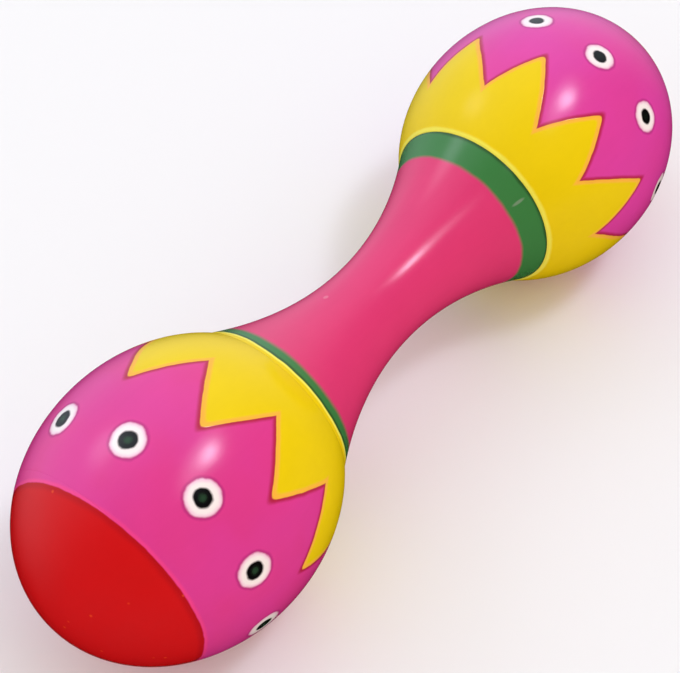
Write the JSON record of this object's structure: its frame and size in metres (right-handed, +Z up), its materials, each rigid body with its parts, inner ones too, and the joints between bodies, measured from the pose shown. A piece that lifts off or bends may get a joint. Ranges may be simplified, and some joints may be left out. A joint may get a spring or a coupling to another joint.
{
  "type": "double shaker ball",
  "caption": "Turned wooden hand shaker for small children: a waisted handle with a hollow ball head on each end, closed by plug caps, with loose pellets inside that rattle.",
  "frame": {"origin": "on the floor, under the middle of the shaker, which lies on its two heads", "axes": "+X along the handle towards the right head, +Z up"},
  "size_m": [0.145, 0.0452, 0.0451],
  "materials": {
    "handle_lacquer": "pink gloss lacquer on turned wood, with a green band painted at each end",
    "head_lacquer": "magenta gloss lacquer on turned wood, with a yellow zigzag and a row of dots",
    "cap_lacquer": "red gloss lacquer on turned wood",
    "pellet_steel": "plain bright steel"
  },
  "bodies": {
    "shaker": {"handle": "handle_lacquer", "left_head": "head_lacquer", "right_head": "head_lacquer", "left_end_cap": "cap_lacquer", "right_end_cap": "cap_lacquer"},
    "left_pellet_1": {"left_pellet_1": "pellet_steel"},
    "left_pellet_2": {"left_pellet_2": "pellet_steel"},
    "left_pellet_3": {"left_pellet_3": "pellet_steel"},
    "left_pellet_4": {"left_pellet_4": "pellet_steel"},
    "left_pellet_5": {"left_pellet_5": "pellet_steel"},
    "left_pellet_6": {"left_pellet_6": "pellet_steel"},
    "left_pellet_7": {"left_pellet_7": "pellet_steel"},
    "left_pellet_8": {"left_pellet_8": "pellet_steel"},
    "right_pellet_1": {"right_pellet_1": "pellet_steel"},
    "right_pellet_2": {"right_pellet_2": "pellet_steel"},
    "right_pellet_3": {"right_pellet_3": "pellet_steel"},
    "right_pellet_4": {"right_pellet_4": "pellet_steel"},
    "right_pellet_5": {"right_pellet_5": "pellet_steel"},
    "right_pellet_6": {"right_pellet_6": "pellet_steel"},
    "right_pellet_7": {"right_pellet_7": "pellet_steel"},
    "right_pellet_8": {"right_pellet_8": "pellet_steel"}
  },
  "joints": [
    {"name": "left_pellet_1_roll", "type": "hinge", "parent": "shaker", "child": "left_pellet_1", "pos_m": [-0.03689, 0, 0.02255], "axis": [1, 0, 0], "range_deg": [0, 155]},
    {"name": "left_pellet_2_roll", "type": "hinge", "parent": "shaker", "child": "left_pellet_2", "pos_m": [-0.03689, 0, 0.02255], "axis": [-1, 0, 0], "range_deg": [0, 155]},
    {"name": "left_pellet_3_roll", "type": "hinge", "parent": "shaker", "child": "left_pellet_3", "pos_m": [-0.04266, 0, 0.02255], "axis": [1, 0, 0], "range_deg": [0, 155]},
    {"name": "left_pellet_4_roll", "type": "hinge", "parent": "shaker", "child": "left_pellet_4", "pos_m": [-0.04266, 0, 0.02255], "axis": [-1, 0, 0], "range_deg": [0, 155]},
    {"name": "left_pellet_5_roll", "type": "hinge", "parent": "shaker", "child": "left_pellet_5", "pos_m": [-0.04844, 0, 0.02255], "axis": [1, 0, 0], "range_deg": [0, 155]},
    {"name": "left_pellet_6_roll", "type": "hinge", "parent": "shaker", "child": "left_pellet_6", "pos_m": [-0.04844, 0, 0.02255], "axis": [-1, 0, 0], "range_deg": [0, 155]},
    {"name": "left_pellet_7_roll", "type": "hinge", "parent": "shaker", "child": "left_pellet_7", "pos_m": [-0.05421, 0, 0.02255], "axis": [1, 0, 0], "range_deg": [0, 155]},
    {"name": "left_pellet_8_roll", "type": "hinge", "parent": "shaker", "child": "left_pellet_8", "pos_m": [-0.05421, 0, 0.02255], "axis": [-1, 0, 0], "range_deg": [0, 155]},
    {"name": "right_pellet_1_roll", "type": "hinge", "parent": "shaker", "child": "right_pellet_1", "pos_m": [0.03689, 0, 0.02255], "axis": [-1, 0, 0], "range_deg": [0, 155]},
    {"name": "right_pellet_2_roll", "type": "hinge", "parent": "shaker", "child": "right_pellet_2", "pos_m": [0.03689, 0, 0.02255], "axis": [1, 0, 0], "range_deg": [0, 155]},
    {"name": "right_pellet_3_roll", "type": "hinge", "parent": "shaker", "child": "right_pellet_3", "pos_m": [0.04266, 0, 0.02255], "axis": [-1, 0, 0], "range_deg": [0, 155]},
    {"name": "right_pellet_4_roll", "type": "hinge", "parent": "shaker", "child": "right_pellet_4", "pos_m": [0.04266, 0, 0.02255], "axis": [1, 0, 0], "range_deg": [0, 155]},
    {"name": "right_pellet_5_roll", "type": "hinge", "parent": "shaker", "child": "right_pellet_5", "pos_m": [0.04844, 0, 0.02255], "axis": [-1, 0, 0], "range_deg": [0, 155]},
    {"name": "right_pellet_6_roll", "type": "hinge", "parent": "shaker", "child": "right_pellet_6", "pos_m": [0.04844, 0, 0.02255], "axis": [1, 0, 0], "range_deg": [0, 155]},
    {"name": "right_pellet_7_roll", "type": "hinge", "parent": "shaker", "child": "right_pellet_7", "pos_m": [0.05421, 0, 0.02255], "axis": [-1, 0, 0], "range_deg": [0, 155]},
    {"name": "right_pellet_8_roll", "type": "hinge", "parent": "shaker", "child": "right_pellet_8", "pos_m": [0.05421, 0, 0.02255], "axis": [1, 0, 0], "range_deg": [0, 155]}
  ]
}
